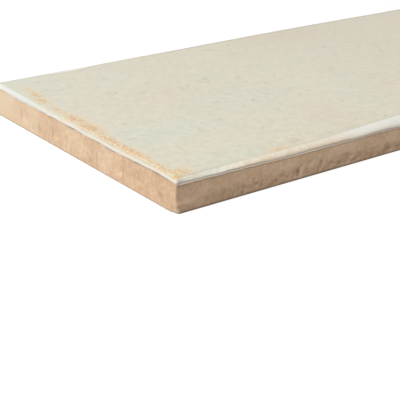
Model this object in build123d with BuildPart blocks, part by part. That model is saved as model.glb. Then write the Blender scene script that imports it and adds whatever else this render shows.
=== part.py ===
# Pressed ceramic wall tile, three inches by six, one fired piece with a glazed face.
# Millimetres. The keyed back lies on Z = 0 and the glazed face looks up, +X runs along the length.
from build123d import *
import os

# Outline and thickness of the fired piece
length = 150.0
width = 75.0
thickness = 7.5

# Edges: glaze rolls over the face's rim, the four upright corners are only eased
rim_radius = 1.4
corner_radius = 0.9
back_arris = 0.4

# Keyed back: shallow pressed pockets that take the adhesive, inside a flat border
border = 6.0
rib = 2.6
pocket_target = 13.0
pocket_depth = 0.7
pocket_corner = 1.6
pocket_draft = 30.0

# Pockets share the back evenly, with a rib between each two
pockets_long = max(1, round((length - 2 * border + rib) / (pocket_target + rib)))
pockets_wide = max(1, round((width - 2 * border + rib) / (pocket_target + rib)))
pocket_length = (length - 2 * border + rib) / pockets_long - rib
pocket_width = (width - 2 * border + rib) / pockets_wide - rib

with BuildPart() as tile:
    # Section across the tile, with both upper edges rolled over
    with BuildSketch(Plane.YZ) as cross_section:
        Rectangle(width, thickness, align=(Align.CENTER, Align.MIN))
        fillet(cross_section.vertices().group_by(Axis.Y)[-1], radius=rim_radius)
    extrude(amount=length / 2, both=True)

    # Section along the tile trims the two ends to the same rolled edge
    with BuildSketch(Plane.XZ) as long_section:
        Rectangle(length, thickness, align=(Align.CENTER, Align.MIN))
        fillet(long_section.vertices().group_by(Axis.Y)[-1], radius=rim_radius)
    extrude(amount=width / 2, both=True, mode=Mode.INTERSECT)

    # Plan outline eases the upright corners
    with BuildSketch() as outline:
        RectangleRounded(length, width, corner_radius)
    extrude(amount=thickness, mode=Mode.INTERSECT)

    # Back edge loses its sharp arris, as it does when the pressed piece is fettled
    chamfer(tile.faces().sort_by(Axis.Z)[0].edges(), length=back_arris)

    # Pockets pressed into the back, drafted so that the punch lifts out
    with BuildSketch() as pockets:
        with GridLocations(pocket_length + rib, pocket_width + rib, pockets_long, pockets_wide):
            RectangleRounded(pocket_length, pocket_width, pocket_corner)
    extrude(amount=pocket_depth, taper=pocket_draft, mode=Mode.SUBTRACT)

tile.part.label = "tile"

os.makedirs("parts", exist_ok=True)
export_step(tile.part, "parts/tile.step")
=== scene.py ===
import math

import bmesh
import bpy
import numpy as np
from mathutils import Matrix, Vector, noise


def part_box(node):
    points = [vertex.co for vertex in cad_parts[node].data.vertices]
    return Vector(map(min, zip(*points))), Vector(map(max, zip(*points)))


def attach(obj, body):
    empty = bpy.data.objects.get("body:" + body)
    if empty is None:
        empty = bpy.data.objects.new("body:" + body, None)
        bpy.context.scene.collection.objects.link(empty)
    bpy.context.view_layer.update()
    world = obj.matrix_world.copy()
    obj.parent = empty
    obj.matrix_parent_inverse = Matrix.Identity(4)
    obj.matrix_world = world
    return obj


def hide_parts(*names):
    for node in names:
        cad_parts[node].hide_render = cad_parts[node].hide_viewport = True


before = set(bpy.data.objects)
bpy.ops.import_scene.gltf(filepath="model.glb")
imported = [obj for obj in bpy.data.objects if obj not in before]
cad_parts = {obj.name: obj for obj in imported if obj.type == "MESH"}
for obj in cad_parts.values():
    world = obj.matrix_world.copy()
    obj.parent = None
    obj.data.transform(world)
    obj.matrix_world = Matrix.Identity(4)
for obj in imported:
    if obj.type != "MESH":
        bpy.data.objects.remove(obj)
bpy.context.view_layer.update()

# Fired tile
# One piece of earthenware, pressed dry in a die: a flat face, bare tan sides and a keyed back.
# The glaze rolls over the rim and stops in an uneven lip part of the way down each side.
mm = 0.001
low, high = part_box("tile")
half_length = (high.x - low.x) / 2
half_width = (high.y - low.y) / 2
face_level = high.z
corner_radius = 0.22 * mm
least_radius = 0.01 * mm
rim_margin = 4.0 * mm
glaze_lip = 0.12 * mm
lip_height = 0.18 * mm
slip_bead = 0.10 * mm
back_arris = 0.10 * mm
foot_line = 0.3 * mm
back_border = 4.5 * mm
deep_hollow = 0.35 * mm
columns_along = 460
columns_across = 228
grid_step = 4
corner_crowding = 0.35
margin_rows = 7
roll_steps = 11
arc_steps = 4
side_rows = 25
noise_gain = 1.6
seed_gap = 17.37


def wander(x, y, period, seed, z=0.0):
    """Smooth random value from about -1 to 1 at each point, with bumps one period wide."""
    x, y, z = np.broadcast_arrays(x, y, z)
    places = zip(x.ravel() / period, y.ravel() / period, z.ravel() / period + seed_gap * seed)
    return np.array([noise_gain * noise.noise(Vector(place)) for place in places]).reshape(x.shape)


def ease(value, start, end):
    """Smooth step from 0 at start to 1 at end."""
    share = np.clip((value - start) / (end - start), 0, 1)
    return share * share * (3 - 2 * share)


def bell(value, centre, reach):
    """Bump that is 1 at its centre and falls away on both sides of it."""
    return np.exp(-((value - centre) / reach) ** 2)


def crowded(count):
    """Places from -1 to 1 that stand closer together towards both ends."""
    even = np.linspace(-1, 1, count + 1)
    return even + corner_crowding * np.sin(math.pi * even) / math.pi


# Columns of the mesh run round the tile from its corner at the low ends of X and Y
along = crowded(columns_along)
across = crowded(columns_across)
ring_x = np.concatenate([along[:-1], np.ones(columns_across), along[:0:-1], -np.ones(columns_across)])
ring_y = np.concatenate([-np.ones(columns_along), across[:-1], np.ones(columns_along), across[:0:-1]])
column_count = len(ring_x)


def on_outline(inset):
    """Points of every column at its own inset from the tile's outline, round the eased corners."""
    reach_x = half_length - inset
    reach_y = half_width - inset
    radius = np.maximum(corner_radius - inset, least_radius)
    x = ring_x * reach_x
    y = ring_y * reach_y
    core_x = np.clip(x, radius - reach_x, reach_x - radius)
    core_y = np.clip(y, radius - reach_y, reach_y - radius)
    pull = radius / np.maximum(np.hypot(x - core_x, y - core_y), 1e-9)
    return core_x + (x - core_x) * pull, core_y + (y - core_y) * pull


edge_x, edge_y = on_outline(np.zeros(column_count))
inside_x = half_length - np.abs(edge_x)
inside_y = half_width - np.abs(edge_y)
on_end = ease(inside_y - inside_x, -1.5 * mm, 1.5 * mm)
on_side = 1 - on_end
from_corner = np.hypot(inside_x, inside_y)
at_near_corner = (edge_x < 0) & (edge_y < 0)

# Half a turn brings each end and each long side onto the other, so both runs start at like corners
run = np.where(edge_y < 0, half_length + edge_x, half_length - edge_x)
span = np.where(edge_x < 0, half_width + edge_y, half_width - edge_y)


def waver(period, seed, level=0.0):
    """Smooth random value at each column of the outline."""
    return wander(edge_x, edge_y, period, seed, level)


# The glaze stops lower on the long sides than on the ends, over a thin white slip, and both lines waver
end_level = 6.16 * mm
end_dip = 0.26 * mm
corner_dip = 0.28 * mm
side_level = 5.42 * mm
side_wave = 90 * mm
side_wave_height = 0.24 * mm
side_rise = 0.9 * mm
slip_on_end = 0.24 * mm
slip_on_side = 0.37 * mm
end_line = end_level - end_dip * bell(span, 24 * mm, 11 * mm) - corner_dip * ease(span, 7 * mm, 1 * mm)
side_line = side_level + side_wave_height * np.cos(2 * math.pi * run / side_wave)
side_line += side_rise * ease(run, 115 * mm, 150 * mm)
bare_line = end_line * on_end + side_line * on_side
bare_line += 0.08 * mm * waver(7 * mm, 1) + 0.06 * mm * waver(1.8 * mm, 2)
bare_line += 0.14 * mm * on_end * waver(3 * mm, 14) * (0.5 + 0.5 * ease(span, 35 * mm, 60 * mm))
slip_height = (slip_on_end * on_end + slip_on_side * on_side) * (1 + 0.35 * waver(6 * mm, 3))
slip_share = on_side * (1 - 0.38 * ease(run, 33 * mm, 41 * mm))
glaze_line = bare_line + slip_height

# The rolled rim is narrow near the sharp corner and broad where the glaze pulled back, and shows white
end_rim_start = 0.34 * mm
end_rim_gain = 0.26 * mm
near_rim_start = 0.55 * mm
near_rim_gain = 1.55 * mm
near_rim_loss = 0.9 * mm
near_rim_swell = 0.55 * mm
far_rim = 0.45 * mm
end_rim = end_rim_start + end_rim_gain * ease(span, 35 * mm, 65 * mm)
near_rim = near_rim_start + near_rim_gain * ease(run, 28 * mm, 66 * mm)
near_rim -= near_rim_loss * ease(run, 90 * mm, 150 * mm)
near_rim += near_rim_swell * ease(run, 0.0, 18 * mm) * ease(run, 63 * mm, 42 * mm)
rim_width = end_rim * on_end + np.where(edge_y < 0, near_rim, far_rim) * on_side
rim_width *= 1 + 0.12 * waver(9 * mm, 4)
rim_share = 0.60 * on_end + 0.90 * on_side
rim_bevel = 1.75 - 0.45 * ease(run, 4 * mm, 24 * mm) * on_side
end_white = 0.16 * mm + 0.75 * mm * ease(span, 50 * mm, 68 * mm)
near_white = near_rim - 0.12 * mm
far_white = 1.9 * mm * bell(edge_x, -56 * mm, 8 * mm) - 0.2 * mm
white_width = end_white * on_end + np.where(edge_y < 0, near_white, far_white) * on_side
edge_wave = 0.02 * mm * np.maximum(1 + waver(20 * mm, 5), 0)

# Nicks under the glaze of each end, painted as shade in the groove under the lip, in mm: place along it and
# half width, and how dark each is
end_nicks = (
    (48.5, 2.2, 0.25),
    (34.5, 0.8, 0.45),
    (24.4, 0.6, 0.90),
    (22.0, 0.5, 0.40),
    (13.0, 2.0, 0.25),
    (8.2, 1.2, 0.50),
    (6.6, 0.6, 0.40),
    (4.4, 0.5, 0.70),
    (2.6, 1.2, 0.45),
)
# The groove under the glaze lip is a line of painted shade, darker at each nick
end_groove = 0.30 + 0.55 * waver(1.6 * mm, 15)
for centre, half_wide, dark in end_nicks:
    end_groove += dark * bell(span / mm, centre, half_wide)
end_groove = np.clip(end_groove, 0, 1) * (1 - 0.7 * ease(span, 50 * mm, 60 * mm))
side_groove = np.clip(0.60 + 0.55 * waver(4 * mm, 12) + 0.5 * ease(run, 5 * mm, 0.0), 0, 1)
side_groove *= 1 - 0.3 * ease(run, 29 * mm, 38 * mm)
lip_groove = side_groove * on_side + end_groove * on_end

# The body pales along each end, and the glaze turns peach on the near side, cooler on the ends and
# darkened by painted shade along the far edge
pale = on_end * ease(edge_y * np.sign(-edge_x), -5 * mm, 37 * mm)
peach = (edge_y < 0) * ease(run, 11 * mm, 18 * mm) * ease(run, 48 * mm, 38 * mm)
peach *= 1.0 + 0.35 * waver(6 * mm, 16)
cool = ease(span, 44 * mm, 58 * mm) * ease(span, 74 * mm, 66 * mm)
glaze_tone = np.clip(peach * on_side + cool * on_end, 0, 1)
# Painted shade along the far edge, carried in the groove layer of the margin and rim rows
far_edge_shade = 0.36 * (edge_y > 0) * on_side * ease(edge_x, -52 * mm, -14 * mm)

# The face rolls gently, falls to one far corner and sags along the near rim
roll_height = 0.05 * mm
roll_wave = 105 * mm
roll_crest = 5 * mm
far_fall = 0.25 * mm
ripple_height = 0.010 * mm
sag_depth = 0.20 * mm
sag_gain = 0.35 * mm


def face_height(x, y):
    """Level of the glazed face: never quite flat, and sunk a little towards the near rim."""
    roll = roll_height * (1 - np.cos(2 * math.pi * (x - roll_crest) / roll_wave))
    fall = far_fall * ease(x, 15 * mm, 75 * mm) * ease(y, 0.0, 37 * mm)
    ripple = ripple_height * (1 + wander(x, y, 8 * mm, 6))
    sunk = sag_depth + sag_gain * ease(x, -75 * mm, -57 * mm) * ease(x, -12 * mm, -33 * mm)
    sag = sunk * ease(y, 30 * mm, -15 * mm) * ease(half_width + y, 6.0 * mm, 0.3 * mm)
    return face_level - roll - fall - np.maximum(ripple, 0) - sag


# Marks pressed or knocked into each end, in mm: place along it, level, half width, half height and depth
end_marks = (
    (62.0, 3.2, 0.40, 1.5, 0.13),
    (53.5, 2.2, 0.55, 1.2, 0.10),
    (47.3, 2.7, 0.32, 1.4, 0.18),
    (41.0, 3.0, 0.35, 1.2, 0.11),
    (28.6, 2.6, 0.32, 1.4, 0.18),
    (18.6, 2.3, 0.40, 1.2, 0.13),
    (5.4, 1.95, 0.55, 0.55, 0.24),
)
# Shallow scoops in each end, in mm: place along it, half width and depth
end_scoops = (
    (60.0, 1.3, 0.34),
    (45.5, 1.4, 0.28),
    (30.5, 1.2, 0.26),
    (26.3, 1.1, 0.24),
    (19.5, 1.6, 0.36),
    (13.1, 1.6, 0.38),
    (7.6, 1.4, 0.28),
)
foot_wear = 0.20 * mm
chip_depth = 0.45 * mm
chip_on_end = 2.2 * mm
chip_on_side = 0.6 * mm
wear_depth = 0.32 * mm
flute_depth = 0.06 * mm
dent_depth = 0.36 * mm
lump_depth = 0.016 * mm
dent_reach = 2.4 * mm


def end_dents(level):
    """Depth of the marks on the ends at each column."""
    depth = np.zeros(column_count)
    for centre, height, half_wide, half_high, deep in end_marks:
        mark = deep * mm * bell(span / mm, centre, half_wide) * bell(level / mm, height, half_high)
        depth = np.maximum(depth, mark)
    return depth * on_end


def scooped(level):
    """Depth of the scoops: they deepen slowly from above and end in a short lip that catches the light."""
    depth = np.zeros(column_count)
    for centre, half_wide, deep in end_scoops:
        depth += deep * mm * bell(span / mm, centre, half_wide)
    return depth * on_end * ease(level, 5.4 * mm, 2.7 * mm) * ease(level, 1.3 * mm, 2.5 * mm)


def corner_wear(level):
    """How far the corners are worn: all at the foot, and the near one chipped there and rubbed above."""
    worn = foot_wear * ease(from_corner, 1.0 * mm, 0.1 * mm) * ease(level, 0.8 * mm, 0.0)
    chip_reach = np.where(inside_x < inside_y, chip_on_end, chip_on_side)
    chip = chip_depth * ease(level, 1.6 * mm, 0.3 * mm) * np.maximum(1 - from_corner / chip_reach, 0)
    rubbed = wear_depth * ease(level, 1.6 * mm, 2.6 * mm) * (1 - 0.75 * ease(level, 2.8 * mm, 6.0 * mm))
    along_end = np.maximum(1 - from_corner / (1.2 * wear_depth), 0)
    rubbed = rubbed * np.where(inside_x < inside_y, along_end, ease(from_corner, 7.0 * mm, 0.5 * mm))
    return np.maximum(worn, np.maximum(chip, rubbed) * at_near_corner)


def side_relief(level):
    """How far the bare side is hollowed: broad flutes, and dents low down that thin out at one corner."""
    flutes = waver(4.2 * mm, 7, 0.35 * level) + 0.5 * waver(2.1 * mm, 8, 0.5 * level)
    broad_dents = np.maximum(waver(1.9 * mm, 9, 0.6 * level) - 0.15, 0)
    small_dents = np.maximum(waver(0.9 * mm, 11, 0.8 * level) - 0.12, 0)
    dent_top = dent_reach + 1.0 * mm * waver(5 * mm, 13)
    dent_share = 0.35 * on_end + on_side * (0.35 + 0.65 * ease(run, 7 * mm, 15 * mm))
    dent_level = ease(level - dent_top, 0.7 * mm, -1.0 * mm) * dent_share
    lumps = waver(0.7 * mm, 10, level) * (0.10 * on_end + 0.5 * on_side + 0.5 * dent_level)
    hollows = flute_depth * flutes * ease(level, 5.6 * mm, 2.6 * mm)
    hollows += dent_depth * (1.2 * broad_dents + 0.9 * small_dents) * dent_level
    hollows += lump_depth * lumps
    straight_foot = ease(level, 0.1 * mm, 0.8 * mm)
    return (np.maximum(hollows, 0) + end_dents(level)) * straight_foot


# Rows go from the face over the rim and down to the back. Each keeps what the finish needs to know: its
# distance from the edge, the white band's width, whether it is a long side, the groove under the glaze,
# the slip, the way down the glaze or the bare side, its hollows, and where the tone changes
layer_titles = ("inset", "white", "side", "groove", "slip", "down", "hollow", "tone")
rows = []


def add_row(inset, level, groove=0.0, slip=0.0, down=0.0, hollow=0.0, tone=glaze_tone):
    """One ring of points, every column at its own inset and level."""
    x, y = on_outline(inset)
    row_values = (x, y, level, inset, white_width, on_side, groove, slip, down, hollow, tone)
    rows.append(np.stack(np.broadcast_arrays(*row_values), axis=-1))


def quarter_turn(steps):
    """Angles of a quarter turn in equal steps, without the first."""
    return np.linspace(0, math.pi / 2, steps + 1)[1:]


# Margin of the face, out to the crease where the rim begins to roll over
for share in np.linspace(0, 1, margin_rows):
    row_inset = rim_margin + (rim_width + edge_wave - rim_margin) * share
    crease_level = face_height(*on_outline(row_inset))
    add_row(row_inset, crease_level, groove=far_edge_shade * ease(share, 0.5, 0.95))

# Rolled rim, smeared with dirt beside the near corner, and the short upright skirt under it
rim_height = crease_level - glaze_line
rim_drop = rim_share * (rim_height - lip_height)
skirt_top = crease_level - rim_drop
smear = bell(run, 0.8 * mm, 0.6 * mm) + 0.5 * ease(run, 3.6 * mm, 1.2 * mm)
smear *= 0.75 * at_near_corner * on_side * np.clip(0.8 + 0.6 * waver(0.8 * mm, 18), 0, 1)
for turn in quarter_turn(roll_steps):
    row_drop = rim_drop * (1 - math.cos(turn) ** rim_bevel)
    row_inset = edge_wave + rim_width * (1 - math.sin(turn) ** rim_bevel)
    row_groove = far_edge_shade + smear * ease(row_drop / rim_height, 0.32, 0.62)
    add_row(row_inset, crease_level - row_drop, groove=row_groove, down=row_drop / rim_height)
for share in (0.5, 1.0):
    row_level = skirt_top + (glaze_line + lip_height - skirt_top) * share
    add_row(edge_wave, row_level, groove=smear, down=(crease_level - row_level) / rim_height)

# Lip that the glaze ends in, and the bead of slip that shows under it
for turn in quarter_turn(arc_steps):
    row_inset = edge_wave + glaze_lip * (1 - math.cos(turn))
    row_level = glaze_line + lip_height * (1 - math.sin(turn))
    # The underside of the lip carries the painted shade of the groove
    add_row(row_inset, row_level, groove=lip_groove * math.sin(turn) ** 1.5, down=1.0)
glazed_rows = len(rows)
slip_inset = edge_wave + glaze_lip
for share, bulge in ((0.05, 0.0), (0.16, 0.3), (0.55, 0.9), (0.80, 1.0), (0.94, 0.8)):
    row_inset = slip_inset - slip_bead * bulge * on_side
    # The top of the slip carries the painted shade under the lip
    row_groove = lip_groove * np.where(share < 0.1, 1, on_end)
    add_row(row_inset, glaze_line - slip_height * share, groove=row_groove, slip=slip_share)

# Bare side, darkened round the near corner with dirt and painted shade, and fresh where its foot is chipped
end_dirt_and_shade = at_near_corner * on_end * ease(from_corner, 4.0 * mm, 1.0 * mm)
side_dirt_and_shade = at_near_corner * on_side * ease(from_corner, 2.0 * mm, 0.4 * mm)
chipped_foot = at_near_corner * ease(from_corner, 0.9 * mm, 0.3 * mm)
for share in np.linspace(0, 1, side_rows):
    row_level = bare_line + (back_arris - bare_line) * share
    relief = side_relief(row_level)
    fresh = chipped_foot * ease(row_level, 1.5 * mm, 0.9 * mm)
    dirt_and_shade_level = ease(row_level, 4.4 * mm, 5.4 * mm) + bell(row_level, 1.6 * mm, 0.45 * mm)
    # Hollows, marks and the near corner are darkened with dirt and painted shade
    row_hollow = (relief + 1.4 * end_dents(row_level)) / deep_hollow
    row_hollow += 0.45 * end_dirt_and_shade * dirt_and_shade_level + 0.40 * side_dirt_and_shade
    row_hollow *= 1 - fresh
    row_tone = pale + 2.0 * fresh
    # Painted shade under the lip reaches a little way down the ends
    row_groove = 0.25 * lip_groove * on_end * max(1 - 8 * share, 0)
    relief = relief + scooped(row_level) + corner_wear(row_level)
    row_inset = slip_inset * (1 - share) + relief
    add_row(row_inset, row_level, groove=row_groove, down=share, hollow=row_hollow, tone=row_tone)

# Arris at the foot, and the flat border that the keyed back is filled from
back_down = 0.5
for turn in quarter_turn(arc_steps):
    row_inset = relief + back_arris * (1 - math.cos(turn))
    row_level = back_arris * (1 - math.sin(turn))
    add_row(row_inset, row_level, down=1.0 + turn, hollow=row_hollow, tone=row_tone)
for row_inset in (relief + back_arris + foot_line, np.full(column_count, back_border)):
    add_row(row_inset, 0.0, down=back_down, tone=0.0)

# The face is a coarser grid inside the first ring, and many-sided faces join the two
grid_reach = rim_margin + 1.2 * mm
grid_x, grid_y = np.meshgrid(along[::grid_step] * (half_length - grid_reach),
                             across[::grid_step] * (half_width - grid_reach), indexing="ij")
grid_inset = np.minimum(half_length - np.abs(grid_x), half_width - np.abs(grid_y))
grid_plain = np.zeros((len(layer_titles) - 1, *grid_x.shape))
grid_points = np.stack([grid_x, grid_y, face_height(grid_x, grid_y), grid_inset, *grid_plain], axis=-1)
grid_points = grid_points.reshape(-1, 3 + len(layer_titles))
grid_index = np.arange(len(grid_points)).reshape(grid_x.shape)
border_index = np.concatenate([grid_index[:-1, 0], grid_index[-1, :-1],
                               grid_index[:0:-1, -1], grid_index[0, :0:-1]])
ring_points = np.concatenate(rows)
ring_index = len(grid_points) + np.arange(len(ring_points)).reshape(-1, column_count)
next_column = np.roll(ring_index, -1, axis=1)


def four_sided(*corners):
    """Faces whose corners are the point numbers at the same place of four arrays."""
    return np.stack(corners, axis=-1).reshape(-1, 4).tolist()


face_quads = four_sided(grid_index[:-1, :-1], grid_index[1:, :-1], grid_index[1:, 1:], grid_index[:-1, 1:])
ring_quads = four_sided(ring_index[:-1], ring_index[1:], next_column[1:], next_column[:-1])
joins = []
for i in range(len(border_index)):
    outer = [ring_index[0, (i * grid_step + k) % column_count] for k in range(grid_step + 1)]
    joins.append(outer + [border_index[(i + 1) % len(border_index)], border_index[i]])
glazed_count = len(face_quads) + len(joins) + (glazed_rows - 1) * column_count

tile_mesh = bpy.data.meshes.new("tile")
points = np.concatenate([grid_points, ring_points])
tile_mesh.from_pydata(points[:, :3].tolist(), [], face_quads + joins + ring_quads)


def keep_layer(title, values):
    """Value of every point, kept on the mesh under a title that the finish reads."""
    layer = tile_mesh.attributes.new(title, "FLOAT", "POINT")
    layer.data.foreach_set("value", values.astype(np.float32))


for column, title in enumerate(layer_titles, 3):
    keep_layer(title, points[:, column])

# Keyed back: drafted pockets between ribs, spread evenly inside a flat border
pocket_border = 6.0 * mm
pocket_rib = 2.6 * mm
pockets_along = 9
pockets_across = 4
pocket_depth = 0.7 * mm
pocket_corner = 1.6 * mm
pocket_length = (2 * half_length - 2 * pocket_border + pocket_rib) / pockets_along - pocket_rib
pocket_width = (2 * half_width - 2 * pocket_border + pocket_rib) / pockets_across - pocket_rib
pocket_draft = math.tan(math.radians(30))
pocket_dust_and_shade = 0.6
corner_steps = 6
# Each pocket goes from its softened mouth along its drafted wall to its floor: inset and height of each loop
pocket_stages = (
    (-0.20 * mm, 0.0),
    (-0.06 * mm, 0.05 * mm),
    (0.02 * mm, 0.16 * mm),
    (pocket_draft * 0.55 * mm, 0.58 * mm),
    (pocket_draft * pocket_depth + 0.12 * mm, pocket_depth),
)


def pocket_outline(centre_x, centre_y, inset):
    """Rounded rectangle round a pocket's centre, drawn in from its mouth by inset."""
    radius = pocket_corner - inset
    outline = []
    for quarter, (sign_x, sign_y) in enumerate(((1, 1), (-1, 1), (-1, -1), (1, -1))):
        corner_x = centre_x + sign_x * (pocket_length / 2 - inset - radius)
        corner_y = centre_y + sign_y * (pocket_width / 2 - inset - radius)
        for step in range(corner_steps + 1):
            turn = math.pi / 2 * (quarter + step / corner_steps)
            outline.append((corner_x + radius * math.cos(turn), corner_y + radius * math.sin(turn)))
    return outline


back = bmesh.new()
back.from_mesh(tile_mesh)
for face in back.faces:
    face.smooth = True
    face.material_index = 0 if face.index < glazed_count else 1
back.verts.ensure_lookup_table()
rim_loop = [back.verts[i] for i in ring_index[-1]]
fill_edges = [back.edges.get((rim_loop[i - 1], rim_loop[i])) for i in range(column_count)]
for i in range(pockets_along):
    for j in range(pockets_across):
        centre_x = (i - (pockets_along - 1) / 2) * (pocket_length + pocket_rib)
        centre_y = (j - (pockets_across - 1) / 2) * (pocket_width + pocket_rib)
        loops = [[back.verts.new((*spot, height)) for spot in pocket_outline(centre_x, centre_y, inset)]
                 for inset, height in pocket_stages]
        for outer, inner in zip(loops[:-1], loops[1:]):
            for k in range(len(outer)):
                wall = back.faces.new((outer[k - 1], inner[k - 1], inner[k], outer[k]))
                wall.smooth = True
                wall.material_index = 1
        pocket_floor = back.faces.new(loops[-1][::-1])
        pocket_floor.material_index = 1
        fill_edges += [back.edges.get((loops[0][k - 1], loops[0][k])) for k in range(len(loops[0]))]
filled = bmesh.ops.triangle_fill(back, edges=fill_edges, use_beauty=True, normal=(0, 0, -1))
for item in filled["geom"]:
    if isinstance(item, bmesh.types.BMFace):
        item.material_index = 1
bmesh.ops.recalc_face_normals(back, faces=back.faces)
back.to_mesh(tile_mesh)
back.free()
down_layer = tile_mesh.attributes["down"]
hollow_layer = tile_mesh.attributes["hollow"]
# Pocket walls and floors darken with depth: dust and painted shade
for vertex in range(len(points), len(tile_mesh.vertices)):
    down_layer.data[vertex].value = back_down
    hollow_layer.data[vertex].value = pocket_dust_and_shade * tile_mesh.vertices[vertex].co.z / pocket_depth

# Iron stain: patches along the rim, in mm: each one's place, its reach along X and Y, and its strength
stain_patches = (
    (-70.6, 28.0, 1.3, 3.0, 0.74),
    (-71.6, 23.6, 1.5, 3.4, 0.92),
    (-72.5, 18.3, 1.5, 3.6, 0.90),
    (-72.9, 10.6, 1.3, 4.0, 0.78),
    (-73.1, 3.0, 1.6, 4.4, 1.02),
    (-73.1, -3.8, 1.8, 4.8, 1.16),
    (-73.9, -12.0, 1.3, 6.0, 0.98),
    (-74.0, -21.0, 1.3, 8.0, 1.00),
    (-74.2, -31.0, 1.1, 8.0, 0.82),
    (-72.6, -35.2, 2.6, 1.9, 0.88),
    (-74.3, -36.7, 1.5, 1.0, 1.25),
    (-49.5, -36.0, 3.6, 0.7, 0.85),
    (4.0, 36.2, 4.0, 1.2, 0.42),
    (-33.0, 36.4, 5.0, 1.0, 0.36),
    (73.4, 10.0, 1.5, 12.0, 0.70),
    (38.0, 36.8, 8.0, 0.8, 0.48),
)
# Warm drift: the glaze turns warmer and darker towards one end, partly its own tone and partly painted shade
# where the light falls off, with a warm patch at the far edge and a cool one inside
warm_start = -70
warm_run = 100
warm_patches = (
    (8.0, 33.0, 18.0, 10.0, 0.75),
    (-15.0, -5.0, 9.0, 14.0, -0.58),
)
vertex_place = np.empty(len(tile_mesh.vertices) * 3, np.float32)
tile_mesh.vertices.foreach_get("co", vertex_place)
vertex_x = vertex_place[0::3] / mm
vertex_y = vertex_place[1::3] / mm


def patch_amounts(patches):
    """How much of each patch lies on every point of the mesh."""
    return [strength * bell(vertex_x, centre_x, reach_x) * bell(vertex_y, centre_y, reach_y)
            for centre_x, centre_y, reach_x, reach_y, strength in patches]


warm_shaded_drift = np.clip((vertex_x - warm_start) / warm_run, 0, 1) + sum(patch_amounts(warm_patches))
keep_layer("stain", np.maximum.reduce(patch_amounts(stain_patches)))
keep_layer("warmth_and_shade", np.maximum(warm_shaded_drift, 0))

tile = bpy.data.objects.new("fired_tile", tile_mesh)
bpy.context.scene.collection.objects.link(tile)
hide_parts("tile")
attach(tile, "root")


def place_node(tree, kind, title, inputs=None, **settings):
    """New node with its title, settings and inputs: a value is set, a socket is linked."""
    made = tree.nodes.new(kind)
    made.name = made.label = title
    for key, value in settings.items():
        setattr(made, key, value)
    for key, value in (inputs or {}).items():
        if isinstance(value, bpy.types.NodeSocket):
            tree.links.new(value, made.inputs[key])
        else:
            made.inputs[key].default_value = value
    return made


def work(tree, title, operation, *values, clamp=False):
    """One sum on up to three values."""
    return place_node(tree, "ShaderNodeMath", title, dict(enumerate(values)),
                      operation=operation, use_clamp=clamp).outputs[0]


def gap(tree, title, value, level):
    """How far a value is from a level."""
    return work(tree, title, "ABSOLUTE", work(tree, title + " signed", "SUBTRACT", value, level))


def ramp(tree, title, value, start, end, at_start=0.0, at_end=1.0, smooth=False):
    """Value that goes from one level to another between start and end, and is held past both."""
    inputs = {"Value": value, "From Min": start, "From Max": end, "To Min": at_start, "To Max": at_end}
    return place_node(tree, "ShaderNodeMapRange", title, inputs,
                      interpolation_type="SMOOTHSTEP" if smooth else "LINEAR").outputs["Result"]


def noise_value(tree, title, place, scale, detail):
    """Soft random pattern, mostly round 0.5."""
    return place_node(tree, "ShaderNodeTexNoise", title,
                      {"Vector": place, "Scale": scale, "Detail": detail}).outputs["Fac"]


def layer_value(tree, title):
    """Value kept on the mesh under that title."""
    return place_node(tree, "ShaderNodeAttribute", title, attribute_name=title).outputs["Fac"]


def shifted(tree, title, place, offset=(0, 0, 0), scale=(1, 1, 1), turn=(0, 0, 0)):
    """The same place, moved, turned and stretched, so that no two patterns line up."""
    inputs = {"Vector": place, "Location": offset, "Rotation": turn, "Scale": scale}
    return place_node(tree, "ShaderNodeMapping", title, inputs).outputs["Vector"]


def tint(tree, title, under, over, amount, blend="MIX"):
    """Colour laid over another by an amount from 0 to 1."""
    return place_node(tree, "ShaderNodeMix", title, {0: amount, 6: under, 7: over},
                      data_type="RGBA", blend_type=blend).outputs[2]


def lay(tree, title, under, over, mask, depth):
    """Colour laid over another where a mask shows it, to some depth."""
    return tint(tree, title, under, over, work(tree, title + " depth", "MULTIPLY", mask, depth))


def shade(tree, title, under, dark, light, pattern, amount):
    """Colour darkened and lightened by a pattern, as far as the amount says."""
    return tint(tree, title, under, tint(tree, title + " shade", dark, light, pattern), amount, "MULTIPLY")


def new_group(title, value_names, output_name):
    """Shader group that takes a place and some values and gives one value: its inputs and its end node."""
    group = bpy.data.node_groups.new(title, "ShaderNodeTree")
    group.interface.new_socket("Place", in_out="INPUT", socket_type="NodeSocketVector")
    for name in value_names:
        group.interface.new_socket(name, in_out="INPUT", socket_type="NodeSocketFloat")
    group.interface.new_socket(output_name, in_out="OUTPUT", socket_type="NodeSocketFloat")
    entry = place_node(group, "NodeGroupInput", "given")
    return group, entry.outputs, place_node(group, "NodeGroupOutput", "result")


# Cloudy tone: soft blotches from 0 to 1, used for the colour drift of both glaze and body
cloudy_tone, given, result = new_group("cloudy_tone", ("Scale", "Detail", "Low", "High"), "Tone")
blotches = noise_value(cloudy_tone, "blotches", given["Place"], given["Scale"], given["Detail"])
spread = ramp(cloudy_tone, "spread", blotches, given["Low"], given["High"], smooth=True)
cloudy_tone.links.new(spread, result.inputs["Tone"])

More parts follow.
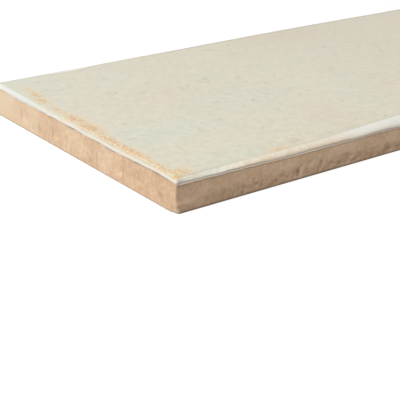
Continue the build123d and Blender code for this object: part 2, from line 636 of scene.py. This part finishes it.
# Scattered spots: sparse ragged dots, for iron specks in the glaze and pits in the body
scattered_spots, given, result = new_group("scattered_spots", ("Scale", "Size", "Share"), "Spots")
ragged = noise_value(scattered_spots, "ragged", given["Place"], scale=2600.0, detail=2.0)
cells = place_node(scattered_spots, "ShaderNodeTexVoronoi", "cells",
                   {"Vector": given["Place"], "Scale": given["Scale"]}).outputs
pick = place_node(scattered_spots, "ShaderNodeSeparateColor", "pick", {"Color": cells["Color"]}).outputs
chosen = work(scattered_spots, "chosen", "LESS_THAN", pick["Red"], given["Share"])
own_size = work(scattered_spots, "own size", "MULTIPLY", pick["Green"], given["Size"])
torn_edge = work(scattered_spots, "torn edge", "MULTIPLY", own_size, ragged)
dot = ramp(scattered_spots, "dot", cells["Distance"], torn_edge, 0.0, smooth=True)
chosen_dot = work(scattered_spots, "chosen dot", "MULTIPLY", dot, chosen)
scattered_spots.links.new(chosen_dot, result.inputs["Spots"])


def clouds(tree, title, place, scale, detail, lowest, highest):
    """Cloudy tone placed in a material."""
    inputs = {"Place": place, "Scale": scale, "Detail": detail, "Low": lowest, "High": highest}
    return place_node(tree, "ShaderNodeGroup", title, inputs, node_tree=cloudy_tone).outputs["Tone"]


def spots(tree, title, place, scale, size, share):
    """Scattered spots placed in a material."""
    inputs = {"Place": place, "Scale": scale, "Size": size, "Share": share}
    return place_node(tree, "ShaderNodeGroup", title, inputs, node_tree=scattered_spots).outputs["Spots"]


def dress(tree, colour, height, strength, distance):
    """Colour and bump linked to a material's shader, which is given back."""
    shader = tree.nodes["Principled BSDF"]
    tree.links.new(colour, shader.inputs["Base Color"])
    skin = place_node(tree, "ShaderNodeBump", "skin",
                      {"Height": height, "Strength": strength, "Distance": distance})
    tree.links.new(skin.outputs["Normal"], shader.inputs["Normal"])
    return shader


# Aged cream glaze: cloudy cream and grey green over white, which shows where it thins at the rim
glaze = bpy.data.materials.new("aged_cream_glaze")
glaze.use_nodes = True
tree = glaze.node_tree
place = place_node(tree, "ShaderNodeTexCoord", "place").outputs["Object"]
inset = layer_value(tree, "inset")
white = layer_value(tree, "white")
side = layer_value(tree, "side")
down = layer_value(tree, "down")
stain = layer_value(tree, "stain")
warmth_and_shade = layer_value(tree, "warmth_and_shade")
glaze_shift = layer_value(tree, "tone")

cream = (0.67, 0.63, 0.50, 1)
grey_green = (0.64, 0.635, 0.52, 1)
beige = (0.665, 0.592, 0.462, 1)
warm_shaded_beige = (0.625, 0.56, 0.43, 1)
mottle_dark = (0.90, 0.885, 0.86, 1)
mottle_light = (1.06, 1.06, 1.06, 1)
rim_white = (0.75, 0.705, 0.625, 1)
cool_white = (0.655, 0.67, 0.625, 1)
side_white = (0.74, 0.74, 0.68, 1)
side_cream = (0.765, 0.725, 0.605, 1)
side_peach = (0.755, 0.625, 0.465, 1)
rim_dark = (0.90, 0.89, 0.87, 1)
rim_light = (1.16, 1.16, 1.15, 1)
warm_veil = (0.78, 0.565, 0.315, 1)
iron = (0.77, 0.49, 0.225, 1)
iron_brown = (0.52, 0.33, 0.16, 1)
crest_grey = (0.84, 0.895, 0.97, 1)
hairline_olive = (0.40, 0.315, 0.20, 1)
speck_brown = (0.30, 0.21, 0.13, 1)
crease_olive = (0.46, 0.44, 0.35, 1)
groove_grey = (0.22, 0.19, 0.16, 1)
groove_depth = 0.75
satin_least = 0.30
satin_most = 0.44
peel_strength = 0.35
peel_height = 0.03 * mm

green_place = shifted(tree, "green place", place, turn=(0.5, 0.4, 0.6))
green_clouds = clouds(tree, "green clouds", green_place, scale=75, detail=3, lowest=0.36, highest=0.64)
colour = tint(tree, "green drift", cream, grey_green, green_clouds)
beige_place = shifted(tree, "beige place", place, offset=(0.31, 0.17, 0), turn=(0.3, 0.6, 0.9))
beige_clouds = clouds(tree, "beige clouds", beige_place, scale=45, detail=4, lowest=0.45, highest=0.72)
colour = lay(tree, "beige drift", colour, beige, beige_clouds, depth=0.55)
# Warmer and darker towards one end: its own tone and painted shade
colour = lay(tree, "warmer drift", colour, warm_shaded_beige, warmth_and_shade, depth=0.65)
mottle_place = shifted(tree, "mottle place", place, offset=(0.11, 0.43, 0), turn=(0.7, 0.5, 0.4))
mottle = clouds(tree, "fine mottle", mottle_place, scale=650, detail=4, lowest=0.30, highest=0.70)
colour = shade(tree, "mottle", colour, mottle_dark, mottle_light, mottle, amount=0.7)

# White shows along the rim up to a ragged border: creamy or peach on the long sides, cooler on the ends
border_place = shifted(tree, "border place", place, offset=(0.71, 0.29, 0))
border_wear = clouds(tree, "border wear", border_place, scale=420, detail=4, lowest=0.25, highest=0.75)
past_white = work(tree, "past the white", "SUBTRACT", inset, white)
past_border = work(tree, "past the border", "MULTIPLY_ADD", border_wear, 0.16 * mm, past_white)
white_share = ramp(tree, "white share", past_border, 0.16 * mm, 0.02 * mm, smooth=True)
glazed = work(tree, "glazed", "SUBTRACT", 1.0, white_share)
side_mottle = clouds(tree, "side mottle", border_place, scale=900, detail=4, lowest=0.40, highest=0.75)
narrow = ramp(tree, "narrow rim", white, 1.5 * mm, 0.6 * mm)
lower = ramp(tree, "lower rim", down, 0.20, 0.70)
creamy = work(tree, "creamy", "MAXIMUM", narrow, work(tree, "creamy below", "MULTIPLY", lower, 0.9))
creamy_mottle = work(tree, "creamy mottle", "MULTIPLY", side_mottle, 0.6)
creamy = work(tree, "creamy or mottled", "MAXIMUM", creamy, creamy_mottle)
long_side = tint(tree, "long side white", side_white, side_cream, creamy)
peach_flecks = work(tree, "peach flecks", "MULTIPLY_ADD", side_mottle, 0.9, 0.55)
peach_below = work(tree, "peach below", "MULTIPLY_ADD", lower, 0.85, 0.75)
peach_share = work(tree, "peach flecks below", "MULTIPLY", peach_flecks, peach_below)
peach_share = work(tree, "peach share", "MULTIPLY", glaze_shift, peach_share, clamp=True)
long_side = tint(tree, "peach tint", long_side, side_peach, peach_share)
# Fine grain on the narrow rim, which also lightens it on average: a painted highlight
rim_grain = clouds(tree, "rim grain", mottle_place, scale=1700, detail=3, lowest=0.30, highest=0.70)
grain_and_highlight = work(tree, "grainy share", "MULTIPLY_ADD", narrow, 0.45, 0.12)
long_side = shade(tree, "grainy rim", long_side, rim_dark, rim_light, rim_grain, grain_and_highlight)
end_colour = tint(tree, "end white", rim_white, cool_white, glaze_shift)
rim_colour = tint(tree, "rim colour", end_colour, long_side, side)
colour = tint(tree, "white rim", colour, rim_colour, white_share)

# A thin line of painted shade follows the border, where the roll begins
off_crease = gap(tree, "off the crease", past_border, 0.22 * mm)
crease = ramp(tree, "crease line", off_crease, 0.16 * mm, 0.0)
crease_depth = ramp(tree, "sharp crease", white, 0.95 * mm, 0.50 * mm, at_start=0.04, at_end=0.22)
crease = work(tree, "crease depth", "MULTIPLY", crease, crease_depth)
crease_shade = ramp(tree, "dull edge", off_crease, 1.2 * mm, 0.1 * mm)
crease_shade = work(tree, "dull face", "MULTIPLY", crease_shade, glazed)
crease_shade = work(tree, "dull side", "MULTIPLY", crease_shade, side)
crease_shade = work(tree, "dull depth", "MULTIPLY", crease_shade, 0.22)
colour = tint(tree, "crease", colour, crease_olive, work(tree, "crease or dull", "MAXIMUM", crease, crease_shade))

# Iron stain: a warm veil under ragged grains, with browner grit in it
stain_place = shifted(tree, "stain place", place, offset=(0.53, 0.61, 0))
stain_breaks = noise_value(tree, "stain breaks", stain_place, scale=1700.0, detail=2.0)
grains = work(tree, "stain and breaks", "MULTIPLY_ADD", stain_breaks, 2.3, stain)
grains = ramp(tree, "stain grains", grains, 1.60, 2.05, smooth=True)
grit = work(tree, "stain and grit", "MULTIPLY_ADD", stain_breaks, 2.6, stain)
grit = ramp(tree, "grit grains", grit, 1.95, 2.30)
nose = ramp(tree, "glaze nose", down, 0.36, 0.52, smooth=True)
clean = work(tree, "clean white", "MAXIMUM", nose, work(tree, "side white", "MULTIPLY", white_share, side))
off_white = work(tree, "off the white", "SUBTRACT", 1.0, clean)
on_roll = ramp(tree, "on the roll", down, 0.02, 0.32)
veil = work(tree, "veil share", "MULTIPLY", stain, off_white)
veil_depth = ramp(tree, "thicker veil", on_roll, 0.0, 1.0, at_start=0.66, at_end=1.15)
colour = lay(tree, "stain veil", colour, warm_veil, veil, veil_depth)
off_roll = work(tree, "off the roll", "SUBTRACT", off_white, on_roll, clamp=True)
grain_share = work(tree, "grain share", "MULTIPLY", grains, off_roll)
colour = lay(tree, "iron stain", colour, iron, grain_share, depth=0.54)
grit_share = work(tree, "grit share", "MULTIPLY", grit, off_roll)
colour = lay(tree, "iron grit", colour, iron_brown, grit_share, depth=0.55)

# A grey line is laid along the crest of the roll where an end is stained
crest = ramp(tree, "worn crest", gap(tree, "off the crest", down, 0.29), 0.19, 0.09, smooth=True)
stain_grey = work(tree, "dirty rim", "MULTIPLY", stain, 2.5, clamp=True)
crest = work(tree, "dirty crest", "MULTIPLY", crest, stain_grey)
crest = work(tree, "crest on the end", "MULTIPLY", crest, work(tree, "end alone", "SUBTRACT", 1.0, side))
colour = tint(tree, "grey crest", colour, crest_grey, crest, "MULTIPLY")

# Iron specks, and hairlines: short bent strokes, cut out of the level lines of a soft pattern
speck = spots(tree, "iron specks", place, scale=150, size=0.30, share=0.13)
colour = lay(tree, "specks", colour, speck_brown, speck, depth=0.75)
bend_place = shifted(tree, "bend place", place, offset=(0.47, 0.13, 0))
bend = noise_value(tree, "hairline bend", bend_place, scale=130.0, detail=2.5)
stroke = ramp(tree, "stroke", gap(tree, "off the stroke", bend, 0.5), 0.012, 0.003)
zone_place = shifted(tree, "zone place", place, offset=(0.19, 0.83, 0))
hairline = work(tree, "hairline", "MULTIPLY", stroke,
                clouds(tree, "hairline zones", zone_place, scale=330, detail=2, lowest=0.50, highest=0.62))
hairline = work(tree, "hairline off white", "MULTIPLY", hairline, glazed)
colour = lay(tree, "hairlines", colour, hairline_olive, hairline, depth=0.36)
# Painted shade under the lip and along the far edge, and dirt beside the near corner
colour = lay(tree, "groove", colour, groove_grey, layer_value(tree, "groove"), groove_depth)

orange_peel = noise_value(tree, "orange peel", place, scale=900.0, detail=3.0)
pinholes = work(tree, "pinholes", "MULTIPLY_ADD", speck, -0.6, orange_peel)
shader = dress(tree, colour, pinholes, peel_strength, peel_height)
satin = ramp(tree, "satin", mottle, 0.0, 1.0, at_start=satin_least, at_end=satin_most)
tree.links.new(satin, shader.inputs["Roughness"])

# Bare biscuit: open tan body, streaked upright by the die and darker in its hollows
biscuit = bpy.data.materials.new("bare_biscuit")
biscuit.use_nodes = True
tree = biscuit.node_tree
place = place_node(tree, "ShaderNodeTexCoord", "place").outputs["Object"]
side = layer_value(tree, "side")
down = layer_value(tree, "down")
hollow = layer_value(tree, "hollow")
slip = layer_value(tree, "slip")
body_shift = layer_value(tree, "tone")

tan = (0.665, 0.465, 0.308, 1)
sand = (0.745, 0.565, 0.395, 1)
pale_sand = (0.78, 0.63, 0.46, 1)
hollow_brown = (0.36, 0.235, 0.145, 1)
flash_orange = (0.74, 0.43, 0.215, 1)
speckle_dark = (0.86, 0.83, 0.80, 1)
speckle_light = (1.10, 1.10, 1.09, 1)
pit_brown = (0.24, 0.155, 0.095, 1)
grain_dark = (0.84, 0.82, 0.80, 1)
grain_light = (1.14, 1.14, 1.14, 1)
slip_white = (0.82, 0.71, 0.60, 1)
foot_shadow_brown = (0.17, 0.11, 0.07, 1)
body_roughness = 0.92
body_gloss = 0.25
grain_strength = 0.6
grain_height = 0.045 * mm

sand_clouds = clouds(tree, "sand clouds", place, scale=120, detail=4, lowest=0.36, highest=0.68)
colour = tint(tree, "sand drift", tan, sand, sand_clouds)
colour = lay(tree, "pale end", colour, pale_sand, body_shift, depth=0.6)

# Streaks grow towards the foot, the long sides darken there with grime and painted shade, and dirt and
# painted shade lie in the hollows
streak_place = shifted(tree, "streak place", place, offset=(0.37, 0.07, 0.2), scale=(1, 1, 0.16))
streak = clouds(tree, "streak", streak_place, scale=100, detail=2, lowest=0.46, highest=0.72)
rougher = ramp(tree, "rougher below", down, 0.35, 0.85, smooth=True)
streak_depth = work(tree, "streak grows", "MULTIPLY_ADD", rougher, 0.09, 0.09)
colour = lay(tree, "streaks", colour, hollow_brown, streak, streak_depth)
grime_and_shade = work(tree, "side grime", "MULTIPLY", rougher, side)
colour = lay(tree, "lower grime", colour, hollow_brown, grime_and_shade, depth=0.40)
hollow_depth = ramp(tree, "hollow depth", side, 0.0, 1.0, at_start=0.38, at_end=0.26)
colour = lay(tree, "hollows", colour, hollow_brown, hollow, hollow_depth)

# Orange flashes under the lip, then speckle, pits and grain, coarser on the long sides and at the near corner
flash_place = shifted(tree, "flash place", place, offset=(0.9, 0.4, 0))
flash = work(tree, "flash share", "MULTIPLY", ramp(tree, "under the lip", down, 0.30, 0.0),
             clouds(tree, "flashes", flash_place, scale=300, detail=2, lowest=0.56, highest=0.74))
colour = lay(tree, "flashing", colour, flash_orange, flash, depth=0.55)
coarse_end = ramp(tree, "coarser corner", body_shift, 0.0, 1.0, at_start=1.05, at_end=0.3)
coarse = work(tree, "coarser side", "MAXIMUM", side, coarse_end)
speckle_place = shifted(tree, "speckle place", place, offset=(0.15, 0.66, 0.3))
speckle = clouds(tree, "speckle", speckle_place, scale=1300, detail=4, lowest=0.30, highest=0.70)
speckle_depth = work(tree, "speckle depth", "MULTIPLY", coarse, 0.55)
colour = shade(tree, "speckled", colour, speckle_dark, speckle_light, speckle, speckle_depth)
pits = spots(tree, "pits", place, scale=420, size=0.50, share=0.22)
colour = lay(tree, "pitting", colour, pit_brown, pits, depth=0.6)
grain_place = shifted(tree, "grain place", place, offset=(0.21, 0.52, 0.4))
grain = noise_value(tree, "body grain", grain_place, scale=2200.0, detail=4.0)
grain_depth = work(tree, "grain depth", "MULTIPLY", coarse, 0.5)
colour = shade(tree, "grain", colour, grain_dark, grain_light, grain, grain_depth)

# White slip with a thin painted shade under it, the groove above darkened by painted shade, painted shadow at
# the foot
slip_edge = ramp(tree, "slip edge", down, 0.05, 0.0)
slip_shade = work(tree, "slip shade", "MULTIPLY", slip_edge, side)
colour = lay(tree, "under slip", colour, hollow_brown, slip_shade, depth=0.6)
colour = tint(tree, "white slip", colour, slip_white, slip)
colour = lay(tree, "groove", colour, groove_grey, layer_value(tree, "groove"), groove_depth)
foot_way = work(tree, "way to the foot", "MULTIPLY_ADD", side, 0.05, down)
colour = lay(tree, "foot grime", colour, foot_shadow_brown, ramp(tree, "foot", foot_way, 0.955, 1.05), depth=0.85)

pitted_grain = work(tree, "pitted grain", "MULTIPLY_ADD", pits, -1.2, grain)
rough = work(tree, "rougher side", "MULTIPLY", pitted_grain, coarse)
shader = dress(tree, colour, rough, grain_strength, grain_height)
shader.inputs["Roughness"].default_value = body_roughness
shader.inputs["Specular IOR Level"].default_value = body_gloss

tile_mesh.materials.append(glaze)
tile_mesh.materials.append(biscuit)

# Studio stage
# A plain white sweep that the tile lies on. It keeps the tile's soft shadow, and shows as white
# to the camera and in reflections. It is cut away under the tile, so that the back is lit from below.
floor_reach = 3.0
floor_level = -0.01 * mm
hole_margin = 1.5 * mm
floor_grey = (0.50, 0.50, 0.50, 1)
floor_lift = 0.56
sky_white = (1, 1, 1, 1)
sky_light = 0.33
corner_signs = ((-1, -1), (1, -1), (1, 1), (-1, 1))
floor_points = []
for reach_x, reach_y in ((floor_reach, floor_reach), (half_length - hole_margin, half_width - hole_margin)):
    floor_points += [(sign_x * reach_x, sign_y * reach_y, floor_level) for sign_x, sign_y in corner_signs]
floor_mesh = bpy.data.meshes.new("floor")
floor_mesh.from_pydata(floor_points, [], [(i, (i + 1) % 4, 4 + (i + 1) % 4, 4 + i) for i in range(4)])
floor = bpy.data.objects.new("floor", floor_mesh)
bpy.context.scene.collection.objects.link(floor)


def seen_itself(tree):
    """1 where a thing is seen, mirrored or looked at through glass, and 0 where it only gives light."""
    path = place_node(tree, "ShaderNodeLightPath", "seen by").outputs
    mirrored = work(tree, "seen or mirrored", "MAXIMUM", path["Is Camera Ray"], path["Is Glossy Ray"])
    return work(tree, "seen at all", "MAXIMUM", mirrored, path["Is Transmission Ray"])


paper = bpy.data.materials.new("white_sweep")
paper.use_nodes = True
tree = paper.node_tree
paper_shader = tree.nodes["Principled BSDF"]
paper_shader.inputs["Base Color"].default_value = floor_grey
paper_shader.inputs["Roughness"].default_value = 1.0
paper_shader.inputs["Specular IOR Level"].default_value = 0.0
lift = work(tree, "lift", "MULTIPLY", seen_itself(tree), floor_lift)
glow = place_node(tree, "ShaderNodeEmission", "white lift", {"Strength": lift})
lifted = place_node(tree, "ShaderNodeAddShader", "lifted sweep",
                    {0: paper_shader.outputs[0], 1: glow.outputs[0]})
tree.links.new(lifted.outputs[0], tree.nodes["Material Output"].inputs["Surface"])
floor_mesh.materials.append(paper)

world = bpy.data.worlds.new("studio")
bpy.context.scene.world = world
world.use_nodes = True
tree = world.node_tree
sky = tree.nodes["Background"]
sky.inputs["Color"].default_value = sky_white
ambient = ramp(tree, "ambient", seen_itself(tree), 0.0, 1.0, at_start=sky_light, at_end=1.0)
tree.links.new(ambient, sky.inputs["Strength"])

# Soft key light
# A large round soft box stands off the tile's end, so the end is bright and the long side is in half shade.
# It is kept out of reflections, because the glaze of that end mirrors no lamp.
soft_box_width = 0.5
key_power = 9.0
key_stand = Vector((-0.757, -0.068, 0.649))


def soft_box(title, power, aim, stand):
    """Round soft box that stands off its aim and looks at it."""
    lamp = bpy.data.lights.new(title, "AREA")
    lamp.shape = "DISK"
    lamp.size = soft_box_width
    lamp.energy = power
    box = bpy.data.objects.new(title, lamp)
    bpy.context.scene.collection.objects.link(box)
    box.location = aim + stand
    box.rotation_euler = (-stand).to_track_quat("-Z", "Y").to_euler()
    return box


key = soft_box("key", key_power, Vector((low.x, low.y, 0.0)), key_stand)
key.visible_glossy = False

# Soft top light
# A second soft box of the same size hangs over the near side, to the right, with about a quarter of
# the power. It is mirrored in the glaze, and draws a highlight along the rolled rim.
top_power = 2.1
top_stand = Vector((0.30, -0.38, 0.87))
soft_box("top", top_power, Vector((0.0, low.y, 0.0)), top_stand)

# Camera
# A long lens looks down along the tile from its near corner, as the photograph does.
# Its angles, distance and lens were fitted to the tile's straight edges there.
view_turn = math.radians(53.83)
view_drop = math.radians(22.94)
view_distance = 200.4 * mm
sensor_width_mm = 36.0
lens_mm = 94.04
nearest_seen = 10 * mm
view_aim = Vector((low.x + 7.70 * mm, low.y + 3.11 * mm, 0.06 * mm))
forward = Vector((math.cos(view_turn) * math.cos(view_drop), math.sin(view_turn) * math.cos(view_drop),
                  -math.sin(view_drop)))
camera_data = bpy.data.cameras.new("camera")
camera_data.sensor_width = sensor_width_mm
camera_data.lens = lens_mm
camera_data.clip_start = nearest_seen
camera = bpy.data.objects.new("camera", camera_data)
bpy.context.scene.collection.objects.link(camera)
camera.location = view_aim - forward * view_distance
camera.rotation_euler = forward.to_track_quat("-Z", "Y").to_euler()
bpy.context.scene.camera = camera
bpy.context.scene.view_settings.view_transform = "Standard"
